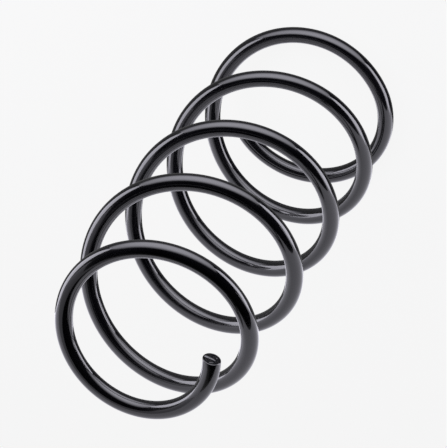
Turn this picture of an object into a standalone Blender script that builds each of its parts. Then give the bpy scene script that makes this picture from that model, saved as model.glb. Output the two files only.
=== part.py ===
"""Coil spring of a suspension strut, standing on its lower end with the coil's axis on +Z.

One round steel bar is wound right-handed. The lower end coil is closed flat, with its tip drawn in.
The upper end is a pigtail: the last turn and a half narrows to a smaller coil and levels out.

A rigid solid can't bend, so the bar is cut across into an end coil at each end and short lengths
between them. The lengths slide down the axis in step, each by its own share of the compression.
"""

import math

import bmesh
import bpy
from mathutils import Vector

# The bar and the coil, in metres.
WIRE_DIAMETER = 0.0125
COIL_RADIUS = 0.070  # mean radius of the active coils
PITCH = 0.085  # rise of one active coil
TURNS = 5.39  # from cut end to cut end

# The lower end, in turns from the lower cut end.
LOWER_TIP_RADIUS = 0.0516
LOWER_TIP_SHIFT = Vector((0.0034, -0.0064, 0.0))  # how far off the axis the tip's coil is centred
LOWER_TAPER_TURNS = 0.47
LOWER_FLAT_TURNS = 0.50
LOWER_RISE_TURNS = 0.355  # over these, the pitch grows from nothing to its full value

# The upper end, in turns from the upper cut end.
UPPER_TIP_RADIUS = 0.0534
UPPER_TIP_PITCH = 0.0086
UPPER_TAPER_TURNS = 1.465
UPPER_RISE_TURNS = 1.18

# How the bar is divided. The end coils rest in the spring seats and don't deflect.
LOWER_END_TURNS = 0.60
UPPER_END_TURNS = 0.29
LENGTHS_PER_COIL = 10
GAP = 0.0003  # between the faces of two neighbouring lengths

# Modelling fineness.
POINTS_PER_TURN = 40
BEVEL_RESOLUTION = 2
SECTION_SIDES = 2 * BEVEL_RESOLUTION + 4

# The section's corners stand outside the round wire, so that both have the same area.
CORNER_ANGLE = 2 * math.pi / SECTION_SIDES
SECTION_RADIUS = WIRE_DIAMETER / 2 * math.sqrt(CORNER_ANGLE / math.sin(CORNER_ANGLE))
SECTION_FLAT_DISTANCE = SECTION_RADIUS * math.cos(CORNER_ANGLE / 2)


def smoothstep(x):
    """Rises smoothly from 0 at x = 0 to 1 at x = 1."""
    x = min(max(x, 0.0), 1.0)
    return x * x * (3 - 2 * x)


def smoothstep_area(x):
    """The area under smoothstep from 0 to x."""
    within = min(max(x, 0.0), 1.0)
    return within**3 - within**4 / 2 + max(x - 1.0, 0.0)


def lower_taper(turn):
    """1 at the lower cut end, fading to 0 where the wire reaches the full coil."""
    return 1 - smoothstep(turn / LOWER_TAPER_TURNS)


def coil_radius(turn):
    """Mean radius of the coil, this many turns above the lower cut end."""
    upper_taper = 1 - smoothstep((TURNS - turn) / UPPER_TAPER_TURNS)
    lower_inset = (COIL_RADIUS - LOWER_TIP_RADIUS) * lower_taper(turn)
    upper_inset = (COIL_RADIUS - UPPER_TIP_RADIUS) * upper_taper
    return COIL_RADIUS - lower_inset - upper_inset


def wire_height(turn):
    """Height of the wire's centre. The pitch is full except near both ends, where it fades."""
    full = LOWER_RISE_TURNS * smoothstep_area((turn - LOWER_FLAT_TURNS) / LOWER_RISE_TURNS)
    faded_whole = TURNS - UPPER_RISE_TURNS * smoothstep_area(TURNS / UPPER_RISE_TURNS)
    left = TURNS - turn
    faded_above = left - UPPER_RISE_TURNS * smoothstep_area(left / UPPER_RISE_TURNS)
    lost = (PITCH - UPPER_TIP_PITCH) * (faded_whole - faded_above)
    return SECTION_FLAT_DISTANCE + PITCH * full - lost


def wire_point(turn, first):
    """A point of the wire's centre line, in the frame of a length that starts at the turn first."""
    angle = 2 * math.pi * (turn - first)
    radius = coil_radius(turn)
    rise = wire_height(turn) - wire_height(first)
    # The shift fades out below the first cut, so it is only ever seen in the frame of turn 0.
    shift = LOWER_TIP_SHIFT * lower_taper(turn)
    return Vector((radius * math.cos(angle), radius * math.sin(angle), rise)) + shift


def clear_scene():
    for leftover in list(bpy.data.objects):
        bpy.data.objects.remove(leftover, do_unlink=True)


def powder_coat():
    """Glossy black powder coat over steel."""
    material = bpy.data.materials.new("powder_coat")
    material.use_nodes = True
    shader = material.node_tree.nodes["Principled BSDF"]
    shader.inputs["Base Color"].default_value = (0.012, 0.012, 0.013, 1.0)
    shader.inputs["Roughness"].default_value = 0.22
    shader.inputs["Metallic"].default_value = 0.0
    return material


def swept_mesh(name, points):
    """The section swept along the points, as a closed mesh."""
    curve = bpy.data.curves.new(name, "CURVE")
    curve.dimensions = "3D"
    curve.twist_mode = "Z_UP"
    curve.bevel_depth = SECTION_RADIUS
    curve.bevel_resolution = BEVEL_RESOLUTION
    curve.use_fill_caps = True
    spline = curve.splines.new("POLY")
    spline.points.add(len(points) - 1)
    for control, point in zip(spline.points, points):
        control.co = (*point, 1.0)
        control.tilt = CORNER_ANGLE / 2
    path = bpy.data.objects.new(name, curve)
    bpy.context.scene.collection.objects.link(path)
    graph = bpy.context.evaluated_depsgraph_get()
    mesh = bpy.data.meshes.new_from_object(path.evaluated_get(graph))
    bpy.data.objects.remove(path)
    bpy.data.curves.remove(curve)
    return mesh


def trim_end(shape, end, along, angle, inwards):
    """Slides the ring of corners around end along the wire, onto an upright plane through the axis.

    The plane stands at angle, set back by half the gap, so that neighbours can slide past each other.
    """
    tangent = Vector((-math.sin(angle), math.cos(angle), 0.0))
    target = inwards * GAP / 2
    for corner in shape.verts:
        if (corner.co - end).length < 1.5 * SECTION_RADIUS:
            missing = target - corner.co.dot(tangent)
            corner.co += along * (missing / along.dot(tangent))


def make_length(name, first, last, material, collection):
    """The wire from the turn first to the turn last. Its origin is on the coil's axis."""
    steps = round((last - first) * POINTS_PER_TURN)
    turns = [first + (last - first) * step / steps for step in range(steps + 1)]
    points = [wire_point(turn, first) for turn in turns]
    mesh = swept_mesh(name, points)

    shape = bmesh.new()
    shape.from_mesh(mesh)
    bmesh.ops.remove_doubles(shape, verts=shape.verts, dist=0.00001)
    if first > 0:
        trim_end(shape, points[0], points[1] - points[0], 0.0, 1)
    if last < TURNS:
        trim_end(shape, points[-1], points[-1] - points[-2], 2 * math.pi * (last - first), -1)
    shape.to_mesh(mesh)
    shape.free()

    mesh.shade_smooth()
    mesh.set_sharp_from_angle(angle=math.radians(60))
    mesh.materials.clear()
    mesh.materials.append(material)
    length = bpy.data.objects.new(name, mesh)
    length.location.z = wire_height(first)
    length.rotation_euler.z = 2 * math.pi * first
    collection.objects.link(length)
    return length


def make_spring():
    collection = bpy.data.collections.new("coil_spring")
    bpy.context.scene.collection.children.link(collection)
    material = powder_coat()

    make_length("lower_end_coil", 0.0, LOWER_END_TURNS, material, collection)
    active_turns = TURNS - UPPER_END_TURNS - LOWER_END_TURNS
    for index in range(round(active_turns * LENGTHS_PER_COIL)):
        coil, place = divmod(index, LENGTHS_PER_COIL)
        name = f"active_coil_{coil + 1}_{chr(ord('a') + place)}"
        first = LOWER_END_TURNS + index / LENGTHS_PER_COIL
        make_length(name, first, first + 1 / LENGTHS_PER_COIL, material, collection)
    make_length("upper_end_coil", TURNS - UPPER_END_TURNS, TURNS, material, collection)


clear_scene()
make_spring()
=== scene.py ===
"""The looks of the strut coil spring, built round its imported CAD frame.

The spring is one round bar, so it is one piece here: it stands for all the short lengths that the CAD cuts
the bar into. It is made as a straight bar, given its share of the compression ring by ring, and then coiled.
"""

import math

import bpy
import numpy as np
from mathutils import Matrix, Vector, noise


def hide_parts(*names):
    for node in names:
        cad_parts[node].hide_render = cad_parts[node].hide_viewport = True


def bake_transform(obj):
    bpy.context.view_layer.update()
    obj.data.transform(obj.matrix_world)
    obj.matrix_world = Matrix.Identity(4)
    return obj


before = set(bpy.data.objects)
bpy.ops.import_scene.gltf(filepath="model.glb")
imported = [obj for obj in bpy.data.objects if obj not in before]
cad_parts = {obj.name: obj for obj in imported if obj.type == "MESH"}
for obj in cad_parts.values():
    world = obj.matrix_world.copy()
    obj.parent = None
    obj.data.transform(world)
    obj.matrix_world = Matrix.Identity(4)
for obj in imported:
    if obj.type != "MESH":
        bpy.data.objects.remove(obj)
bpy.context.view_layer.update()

# The bar and the coil, in metres. These are the CAD's own dimensions.
WIRE_RADIUS = 0.00625
COIL_RADIUS = 0.070  # mean radius of the active coils
PITCH = 0.085  # rise of one active coil
TURNS = 5.39  # from cut end to cut end
LOWER_TIP_RADIUS = 0.0516
LOWER_TIP_SHIFT = (0.0034, -0.0064, 0.0)  # how far off the axis the tip's coil is centred
LOWER_TAPER_TURNS = 0.47
LOWER_FLAT_TURNS = 0.50
LOWER_RISE_TURNS = 0.355
UPPER_TIP_RADIUS = 0.0534
UPPER_TIP_PITCH = 0.0086
UPPER_TAPER_TURNS = 1.465
UPPER_RISE_TURNS = 1.18
CLOSED_PITCH = 0.0135  # what is left of the pitch where one coil has closed onto the next

# The sheared ends, in metres.
EDGE_RADIUS = 0.0006  # the coat rounds off the sheared edge
SHEAR_LEAN = 0.21  # slope of the cut, which leans back towards the outside of the coil
SHEAR_REACH = 0.0021  # how far the middle of the cut stands beyond the last turn
LIP_PLACE = -0.0004  # the ridge that the shear left, above the middle of the bar
LIP_WIDTH = 0.0005
LIP_HEIGHT = 0.0006
GRAIN_DEPTH = 0.00016
GRAIN_PER_METRE = 450.0

# The powder coat.
DARK_BLACK = (0.0016, 0.0016, 0.0022)
PALE_BLACK = (0.0036, 0.0036, 0.0046)
BASE_ROUGHNESS = (0.12, 0.17)
COAT_ROUGHNESS = 0.03
COAT_IOR = 1.5
CLOUDS_PER_METRE = 45.0
PEEL_PER_METRE = 180.0
PEEL_HEIGHT = 0.00006
PEEL_STRENGTH = 0.035

# Modelling fineness.
RINGS_PER_TURN = 120
RING_SIDES = 64
EDGE_RINGS = 8
FACE_RINGS = 30
PIN_RADIUS = 0.0001  # where the rings of the face stop
TANGENT_STEP = 1e-4  # in turns
SHARE_STEPS = 2000

# The camera looks at the coil's axis from above, turned so that the axis runs across the picture.
CAMERA_AIM = Vector((0.0, 0.0, 0.1922))
CAMERA_DISTANCE = 1.6424
CAMERA_BEARING = math.radians(-157.49)  # from +X towards +Y, where the camera stands
CAMERA_ELEVATION = math.radians(54.22)
CAMERA_ROLL = math.radians(-144.19)
CAMERA_LENS = 179.96
SENSOR_WIDTH = 36.0

# The studio, in metres from the camera's aim: x to the right, y up and z back towards the camera.
RIGHT = Vector((1.0, 0.0, 0.0))
UP = Vector((0.0, 1.0, 0.0))
BACK = Vector((0.0, 0.0, 1.0))
LIGHT_COLOR = (1.0, 0.985, 1.10, 1.0)

# The large panel above, which comes lower towards the camera and fades at both ends.
TOP_HEIGHT = 0.93
TOP_TILT = 0.60  # radians
TOP_WIDE = (-0.84, 0.88)
TOP_DEEP = (-0.15, 1.36)
TOP_FADES = (0.15, 1.02)  # where it has faded to half
TOP_FADE_HALF_WIDTH = 0.32
TOP_SPREAD = 0.75  # how far from its middle it dims sideways
TOP_STRENGTH = 3.15

# A panel at each side. The corners are (up, back), and the angles are in radians.
LEFT_OFFSET = -0.52
LEFT_TURN = 0.17
LEFT_LEAN = 0.27
LEFT_STRENGTH = 3.7
LEFT_CORNERS = [
    (-0.14, -0.09),
    (-0.14, 0.12),
    (0.0, 0.24),
    (0.25, 0.38),
    (0.45, 0.36),
    (0.45, 0.10),
    (0.22, -0.09),
]
RIGHT_OFFSET = 0.63
RIGHT_TURN = -0.05
RIGHT_LEAN = -0.05
RIGHT_STRENGTH = 4.3
RIGHT_CORNERS = [
    (-0.17, -0.01),
    (-0.17, 0.19),
    (0.22, 0.44),
    (0.43, 0.42),
    (0.43, 0.14),
    (0.12, -0.05),
]

# A pale card below, whose edge runs across in front of the spring, and a dimmer one beside it. The corners
# are (right, back).
CARD_MIDDLE = -0.05
CARD_HEIGHT = -0.22
CARD_CORNERS = [(-1.5, -4.0), (1.5, -4.0), (1.5, 0.90), (0.47, 0.17), (-1.5, 0.17)]
CARD_LEVEL = 0.64  # in the middle
CARD_GAIN = 0.95  # per metre away from the middle
ASIDE_DROP = 0.002  # below the card
ASIDE_CORNERS = [(0.03, 0.05), (-1.5, 0.05), (-1.5, 1.05), (-0.10, 0.23)]
ASIDE_LEVEL = 0.30
ASIDE_GAIN = 0.42

# A faint level beyond the spring and to its left. The rest is dark.
DIM_TOWARDS = Vector((-0.5, 0.0, -0.87))
DIM_LEVEL = 0.14
DIM_FADE_HALF_WIDTH = 0.3

# The pale background and floor, which the camera sees directly.
BACKGROUND_LEVEL = 0.94
FLOOR_SIZE = 60.0
FLOOR_GLOW = 0.90
FLOOR_COLOR = (0.04, 0.04, 0.04, 1.0)
WHITE = (1.0, 1.0, 1.0, 1.0)


def smoothstep(x):
    """Rises smoothly from 0 at x = 0 to 1 at x = 1."""
    x = np.clip(x, 0.0, 1.0)
    return x * x * (3 - 2 * x)


def smoothstep_area(x):
    """The area under smoothstep from 0 to x."""
    within = np.clip(x, 0.0, 1.0)
    return within**3 - within**4 / 2 + np.maximum(x - 1.0, 0.0)


def smoothstep_place(share):
    """Where smoothstep has risen to this share."""
    return 0.5 - np.sin(np.arcsin(1 - 2 * share) / 3)


def unit(vectors):
    return vectors / np.linalg.norm(vectors, axis=-1, keepdims=True)


# The line of the wire.


def wire_height(turn):
    """Height of the wire's centre. The pitch is full except near both ends, where it fades."""
    full = LOWER_RISE_TURNS * smoothstep_area((turn - LOWER_FLAT_TURNS) / LOWER_RISE_TURNS)
    faded_whole = TURNS - UPPER_RISE_TURNS * smoothstep_area(TURNS / UPPER_RISE_TURNS)
    left = TURNS - turn
    faded_above = left - UPPER_RISE_TURNS * smoothstep_area(left / UPPER_RISE_TURNS)
    lost = (PITCH - UPPER_TIP_PITCH) * (faded_whole - faded_above)
    return WIRE_RADIUS + PITCH * full - lost


def wire_centre(turn):
    """Points of the wire's centre line, this many turns above the lower cut end."""
    lower_taper = 1 - smoothstep(turn / LOWER_TAPER_TURNS)
    upper_taper = 1 - smoothstep((TURNS - turn) / UPPER_TAPER_TURNS)
    lower_inset = (COIL_RADIUS - LOWER_TIP_RADIUS) * lower_taper
    upper_inset = (COIL_RADIUS - UPPER_TIP_RADIUS) * upper_taper
    radius = COIL_RADIUS - lower_inset - upper_inset
    angle = 2 * math.pi * turn
    circle = np.stack([radius * np.cos(angle), radius * np.sin(angle), wire_height(turn)], axis=1)
    return circle + lower_taper[:, None] * np.array(LOWER_TIP_SHIFT)


def wire_directions(turn):
    """Unit vectors along the wire, square to it away from the coil's axis, and square to both."""
    before = wire_centre(np.maximum(turn - TANGENT_STEP, 0.0))
    after = wire_centre(np.minimum(turn + TANGENT_STEP, TURNS))
    along = unit(after - before)
    angle = 2 * math.pi * turn
    radial = np.stack([np.cos(angle), np.sin(angle), np.zeros(len(turn))], axis=1)
    outward = unit(radial - along * np.sum(radial * along, axis=1, keepdims=True))
    return along, outward, np.cross(outward, along)


def compression_share(turn):
    """How much of the compression each place on the bar moves down by, from 0 at the lower end to 1.

    The bar closes evenly over the free gap between its coils, so a place's share is the part of the whole
    gap that lies below it.
    """
    fine = np.linspace(0.0, TURNS, SHARE_STEPS)
    gap = np.maximum(np.gradient(wire_height(fine), fine) - CLOSED_PITCH, 0.0)
    below = np.concatenate([[0.0], np.cumsum((gap[1:] + gap[:-1]) / 2)])
    return np.interp(turn, fine, below / below[-1])


# The bar's surface.


def bar_rings():
    """The rings of the bar's surface from end to end: turn, setback from the cut, and radius."""
    bend = np.linspace(0.0, math.pi / 2, EDGE_RINGS)
    edge_setback = EDGE_RADIUS * (1 - np.sin(bend))
    edge_radius = WIRE_RADIUS - EDGE_RADIUS * (1 - np.cos(bend))
    face_radius = np.linspace(edge_radius[-1], PIN_RADIUS, FACE_RINGS + 1)[1:]
    end_setback = np.concatenate([edge_setback, np.zeros(FACE_RINGS)])
    end_radius = np.concatenate([edge_radius, face_radius])

    body_turns = np.linspace(0.0, TURNS, round(TURNS * RINGS_PER_TURN))[1:-1]
    at_end = np.zeros(len(end_radius))
    turn = np.concatenate([at_end, body_turns, at_end + TURNS])
    setback = np.concatenate([end_setback[::-1], np.zeros(len(body_turns)), end_setback])
    radius = np.concatenate([end_radius[::-1], np.full(len(body_turns), WIRE_RADIUS), end_radius])
    return turn, setback, radius


def shear_relief(outward, upward):
    """Height of a sheared face: a lip that fades towards the outside, and the torn grain beside it."""
    fade = smoothstep(0.55 - outward / WIRE_RADIUS)
    lip = LIP_HEIGHT * np.exp(-(((upward - LIP_PLACE) / LIP_WIDTH) ** 2)) * fade
    places = zip(outward.flat, upward.flat)
    grain = [noise.noise(Vector((x, y, 0)) * GRAIN_PER_METRE) for x, y in places]
    return lip + GRAIN_DEPTH * np.array(grain).reshape(outward.shape)


def end_shift(turn, setback, radius, outward, upward):
    """How far each point of the end rings is moved along the wire, to make the rounded, sheared ends."""
    on_face = smoothstep((WIRE_RADIUS - EDGE_RADIUS - radius) / EDGE_RADIUS)  # relief fades out at the edge
    relief = on_face[:, None] * shear_relief(outward, upward)
    slant = SHEAR_REACH - SHEAR_LEAN * outward
    way_out = np.where(turn == 0.0, -1.0, 0.0) + np.where(turn == TURNS, 1.0, 0.0)
    return way_out[:, None] * (slant + relief - setback[:, None])


def bar_faces(ring_count):
    """Quads between neighbouring rings, and a small cap at each end."""
    faces = [tuple(range(RING_SIDES))]
    for ring in range(ring_count - 1):
        here = ring * RING_SIDES
        beyond = here + RING_SIDES
        for side in range(RING_SIDES):
            after = (side + 1) % RING_SIDES
            faces.append((here + side, beyond + side, beyond + after, here + after))
    last = (ring_count - 1) * RING_SIDES
    faces.append(tuple(last + side for side in reversed(range(RING_SIDES))))
    return faces


def make_spring():
    turn, setback, radius = bar_rings()
    around = np.linspace(0.0, 2 * math.pi, RING_SIDES, endpoint=False)
    outward_place = radius[:, None] * np.cos(around)
    upward_place = radius[:, None] * np.sin(around)
    shift = end_shift(turn, setback, radius, outward_place, upward_place)

    share_place = np.repeat(smoothstep_place(compression_share(turn))[:, None], RING_SIDES, 1)
    straight = np.stack([share_place, outward_place, upward_place], axis=2)
    mesh = bpy.data.meshes.new("spring_bar")
    mesh.from_pydata(straight.reshape(-1, 3).tolist(), [], bar_faces(len(turn)))
    spring = bpy.data.objects.new("spring_bar", mesh)
    bpy.context.scene.collection.objects.link(spring)
    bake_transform(spring)

    # Where each point lies on the straight bar, in metres, for the material.
    centre = wire_centre(turn)
    length = np.concatenate([[0.0], np.cumsum(np.linalg.norm(np.diff(centre, axis=0), axis=1))])
    bar_place = np.stack([length[:, None] + shift, outward_place, upward_place], axis=2)
    attribute = mesh.attributes.new("bar_place", "FLOAT_VECTOR", "POINT")
    attribute.data.foreach_set("vector", bar_place.astype(np.float32).ravel())

    # The coiled bar.
    along, outward, upward = wire_directions(turn)
    coiled = (
        centre[:, None, :]
        + outward_place[..., None] * outward[:, None, :]
        + upward_place[..., None] * upward[:, None, :]
        + shift[..., None] * along[:, None, :]
    )
    mesh.vertices.foreach_set("co", coiled.astype(np.float32).ravel())
    mesh.shade_smooth()
    mesh.update()
    mesh.materials.append(powder_coat())
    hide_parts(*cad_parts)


def powder_coat():
    """Glossy black powder coat: a clear glossy skin over a duller black, with a faint orange peel."""
    material = bpy.data.materials.new("powder_coat")
    material.use_nodes = True
    nodes = material.node_tree.nodes
    links = material.node_tree.links
    shader = nodes["Principled BSDF"]
    shader.inputs["IOR"].default_value = COAT_IOR
    shader.inputs["Coat Weight"].default_value = 1.0
    shader.inputs["Coat Roughness"].default_value = COAT_ROUGHNESS

    place = nodes.new("ShaderNodeAttribute")
    place.attribute_name = "bar_place"

    def fractal(scale, detail):
        texture = nodes.new("ShaderNodeTexNoise")
        texture.inputs["Scale"].default_value = scale
        texture.inputs["Detail"].default_value = detail
        links.new(place.outputs["Vector"], texture.inputs["Vector"])
        return texture.outputs["Fac"]

    def ramp(factor, low_color, high_color):
        mapped = nodes.new("ShaderNodeValToRGB")
        low, high = mapped.color_ramp.elements
        low.position = 0.3
        low.color = (*low_color, 1.0)
        high.position = 0.7
        high.color = (*high_color, 1.0)
        links.new(factor, mapped.inputs["Fac"])
        return mapped.outputs["Color"]

    clouds = fractal(CLOUDS_PER_METRE, 3.0)
    links.new(ramp(clouds, DARK_BLACK, PALE_BLACK), shader.inputs["Base Color"])
    smooth, rough = BASE_ROUGHNESS
    links.new(ramp(clouds, (smooth,) * 3, (rough,) * 3), shader.inputs["Roughness"])

    peel = nodes.new("ShaderNodeBump")
    peel.inputs["Strength"].default_value = PEEL_STRENGTH
    peel.inputs["Distance"].default_value = PEEL_HEIGHT
    links.new(fractal(PEEL_PER_METRE, 1.0), peel.inputs["Height"])
    links.new(peel.outputs["Normal"], shader.inputs["Normal"])
    links.new(peel.outputs["Normal"], shader.inputs["Coat Normal"])
    return material


# The camera and the studio round it.


def make_camera():
    """Makes the camera, and returns the studio's frame: its origin at the aim, its axes the camera's."""
    data = bpy.data.cameras.new("camera")
    data.lens = CAMERA_LENS
    data.sensor_width = SENSOR_WIDTH
    camera = bpy.data.objects.new("camera", data)
    level = math.cos(CAMERA_ELEVATION)
    back = Vector(
        (
            level * math.cos(CAMERA_BEARING),
            level * math.sin(CAMERA_BEARING),
            math.sin(CAMERA_ELEVATION),
        )
    )
    upright = (-back).to_track_quat("-Z", "Y").to_matrix()
    turned = (upright @ Matrix.Rotation(CAMERA_ROLL, 3, "Z")).to_4x4()
    camera.matrix_world = Matrix.Translation(CAMERA_AIM + back * CAMERA_DISTANCE) @ turned
    bpy.context.scene.collection.objects.link(camera)
    bpy.context.scene.camera = camera
    return Matrix.Translation(CAMERA_AIM) @ turned


def glowing(name, strength=1.0):
    """A material that only gives light, and its emission node."""
    material = bpy.data.materials.new(name)
    material.use_nodes = True
    nodes = material.node_tree.nodes
    nodes.remove(nodes["Principled BSDF"])
    glow = nodes.new("ShaderNodeEmission")
    glow.inputs["Color"].default_value = LIGHT_COLOR
    glow.inputs["Strength"].default_value = strength
    material.node_tree.links.new(glow.outputs["Emission"], nodes["Material Output"].inputs["Surface"])
    return material, glow


def panel_place(material):
    """The x and y of a place on the panel, in its own frame."""
    nodes = material.node_tree.nodes
    place = nodes.new("ShaderNodeTexCoord")
    split = nodes.new("ShaderNodeSeparateXYZ")
    material.node_tree.links.new(place.outputs["Object"], split.inputs["Vector"])
    return split.outputs["X"], split.outputs["Y"]


def math_node(material, operation, *values):
    """A node that does this to the values. Each value is a number or another node's output."""
    node = material.node_tree.nodes.new("ShaderNodeMath")
    node.operation = operation
    for socket, value in zip(node.inputs, values):
        if isinstance(value, (int, float)):
            socket.default_value = value
        else:
            material.node_tree.links.new(value, socket)
    return node.outputs["Value"]


def rising(tree, value, middle, half_width):
    """A node that rises smoothly from 0 to 1 round the middle."""
    node = tree.nodes.new("ShaderNodeMapRange")
    node.interpolation_type = "SMOOTHSTEP"
    node.inputs["From Min"].default_value = middle - half_width
    node.inputs["From Max"].default_value = middle + half_width
    tree.links.new(value, node.inputs["Value"])
    return node


def make_panel(name, place, corners, material):
    """A flat light panel with these corners in its own frame. The camera doesn't see it."""
    mesh = bpy.data.meshes.new(name)
    mesh.from_pydata([(x, y, 0) for x, y in corners], [], [tuple(range(len(corners)))])
    mesh.materials.append(material)
    panel = bpy.data.objects.new(name, mesh)
    panel.matrix_world = place
    panel.visible_camera = False
    bpy.context.scene.collection.objects.link(panel)
    return panel


def panel_frame(origin, x_axis, y_axis):
    turned = Matrix((x_axis, y_axis, x_axis.cross(y_axis))).transposed().to_4x4()
    return Matrix.Translation(origin) @ turned


def make_top_panel(studio):
    material, glow = glowing("top_panel_light")
    x, y = panel_place(material)
    tree = material.node_tree
    far, near = TOP_FADES
    lit = rising(tree, y, far, TOP_FADE_HALF_WIDTH).outputs["Result"]
    past = rising(tree, y, near, TOP_FADE_HALF_WIDTH).outputs["Result"]
    lengthways = math_node(material, "MULTIPLY", lit, math_node(material, "SUBTRACT", 1.0, past))
    spread = math_node(material, "DIVIDE", x, TOP_SPREAD)
    squared = math_node(material, "MULTIPLY", spread, spread)
    bell = math_node(material, "EXPONENT", math_node(material, "MULTIPLY", squared, -0.5))
    sideways = math_node(material, "MULTIPLY", bell, TOP_STRENGTH)
    tree.links.new(math_node(material, "MULTIPLY", lengthways, sideways), glow.inputs["Strength"])

    left, right = TOP_WIDE
    low, high = TOP_DEEP
    corners = [(left, low), (right, low), (right, high), (left, high)]
    towards_camera = Vector((0.0, -math.sin(TOP_TILT), math.cos(TOP_TILT)))
    place = studio @ panel_frame(UP * TOP_HEIGHT, RIGHT, towards_camera)
    make_panel("top_panel", place, corners, material)


def make_side_panel(studio, name, offset, turn, lean, strength, corners):
    material, _ = glowing(name + "_light", strength)
    turned = Matrix.Rotation(turn, 3, "Y") @ Matrix.Rotation(lean, 3, "Z")
    place = studio @ panel_frame(RIGHT * offset, turned @ UP, turned @ BACK)
    make_panel(name, place, corners, material)


def make_card(studio, name, height, level, gain, corners):
    """A card that grows brighter away from its middle. It shows in reflections, and casts no shadow."""
    material, glow = glowing(name + "_light")
    x, _ = panel_place(material)
    away = math_node(material, "ABSOLUTE", x)
    brightness = math_node(material, "MULTIPLY_ADD", away, gain, level)
    material.node_tree.links.new(brightness, glow.inputs["Strength"])
    place = studio @ panel_frame(Vector((CARD_MIDDLE, height, 0.0)), RIGHT, BACK)
    card = make_panel(name, place, corners, material)
    card.visible_diffuse = False
    card.visible_shadow = False


def make_world(studio):
    """Faint light from beyond the spring, and darkness elsewhere. What the camera sees directly is pale."""
    world = bpy.data.worlds.new("studio")
    world.use_nodes = True
    bpy.context.scene.world = world
    tree = world.node_tree
    direction = tree.nodes.new("ShaderNodeTexCoord")
    ahead = tree.nodes.new("ShaderNodeVectorMath")
    ahead.operation = "DOT_PRODUCT"
    ahead.inputs[1].default_value = studio.to_3x3() @ DIM_TOWARDS
    tree.links.new(direction.outputs["Generated"], ahead.inputs[0])
    dim = rising(tree, ahead.outputs["Value"], 0.0, DIM_FADE_HALF_WIDTH)
    dim.inputs["To Max"].default_value = DIM_LEVEL

    path = tree.nodes.new("ShaderNodeLightPath")
    level = tree.nodes.new("ShaderNodeMix")
    level.data_type = "FLOAT"
    level.inputs["B"].default_value = BACKGROUND_LEVEL
    tree.links.new(path.outputs["Is Camera Ray"], level.inputs["Factor"])
    tree.links.new(dim.outputs["Result"], level.inputs["A"])
    background = tree.nodes["Background"]
    background.inputs["Color"].default_value = WHITE
    tree.links.new(level.outputs["Result"], background.inputs["Strength"])


def make_floor():
    """A pale floor that glows evenly, so that it is as bright as the background."""
    material = bpy.data.materials.new("pale_floor")
    material.use_nodes = True
    shader = material.node_tree.nodes["Principled BSDF"]
    shader.inputs["Base Color"].default_value = FLOOR_COLOR
    shader.inputs["Roughness"].default_value = 1.0
    shader.inputs["Specular IOR Level"].default_value = 0.0
    shader.inputs["Emission Color"].default_value = WHITE
    shader.inputs["Emission Strength"].default_value = FLOOR_GLOW

    half = FLOOR_SIZE / 2
    corners = [(-half, -half, 0), (half, -half, 0), (half, half, 0), (-half, half, 0)]
    mesh = bpy.data.meshes.new("floor")
    mesh.from_pydata(corners, [], [(0, 1, 2, 3)])
    mesh.materials.append(material)
    floor = bpy.data.objects.new("floor", mesh)
    floor.visible_glossy = False
    floor.visible_shadow = False
    bpy.context.scene.collection.objects.link(floor)


make_spring()
studio = make_camera()
make_top_panel(studio)
make_side_panel(studio, "left_panel", LEFT_OFFSET, LEFT_TURN, LEFT_LEAN, LEFT_STRENGTH, LEFT_CORNERS)
make_side_panel(studio, "right_panel", RIGHT_OFFSET, RIGHT_TURN, RIGHT_LEAN, RIGHT_STRENGTH, RIGHT_CORNERS)
make_card(studio, "card", CARD_HEIGHT, CARD_LEVEL, CARD_GAIN, CARD_CORNERS)
make_card(studio, "card_aside", CARD_HEIGHT - ASIDE_DROP, ASIDE_LEVEL, ASIDE_GAIN, ASIDE_CORNERS)
make_world(studio)
make_floor()
bpy.context.scene.view_settings.view_transform = "Standard"
